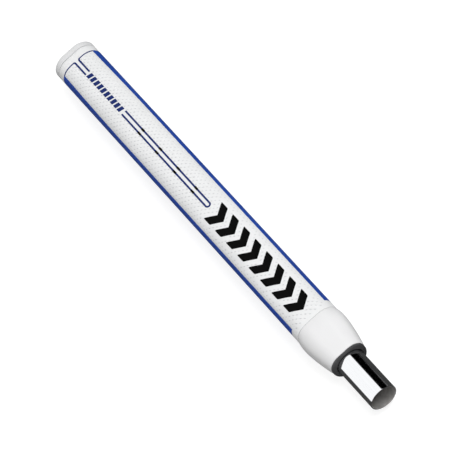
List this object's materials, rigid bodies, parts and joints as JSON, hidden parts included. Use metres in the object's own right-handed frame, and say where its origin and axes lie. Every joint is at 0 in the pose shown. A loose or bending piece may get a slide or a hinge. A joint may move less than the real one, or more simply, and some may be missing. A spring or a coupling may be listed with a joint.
{
  "type": "golf grip",
  "caption": "Wide non-tapered putter grip with a flat front, a moulded collar and a lined bore, fitted over the end of a tubular steel golf shaft.",
  "frame": {"origin": "under the middle of the whole part, on the surface that the grip's back lies on", "axes": "+X runs along the shaft from the butt end to the mouth and the shaft's free end; +Z points out of the flat front; Y is the width"},
  "size_m": [0.2874, 0.0268, 0.0249],
  "materials": {
    "cap_rubber": "matte",
    "skin_white": "matte",
    "rail_blue": "satin",
    "collar_white": "satin",
    "sleeve_rubber": "matte",
    "core_foam": "matte",
    "shaft_chrome": "polished",
    "tape_paper": "matte",
    "print_navy": "satin",
    "print_black": "satin"
  },
  "bodies": {
    "grip": {"inner_sleeve": "sleeve_rubber", "foam_core": "core_foam", "cover_skin": "skin_white", "left_rail": "rail_blue", "right_rail": "rail_blue", "butt_cap": "cap_rubber", "mouth_collar": "collar_white"},
    "shaft": {"shaft_tube": "shaft_chrome", "grip_tape": "tape_paper"}
  },
  "joints": [
    {"name": "shaft_slide", "type": "slide", "parent": "grip", "child": "shaft", "axis": [1, 0, 0], "range_m": [0, 0.26]}
  ]
}
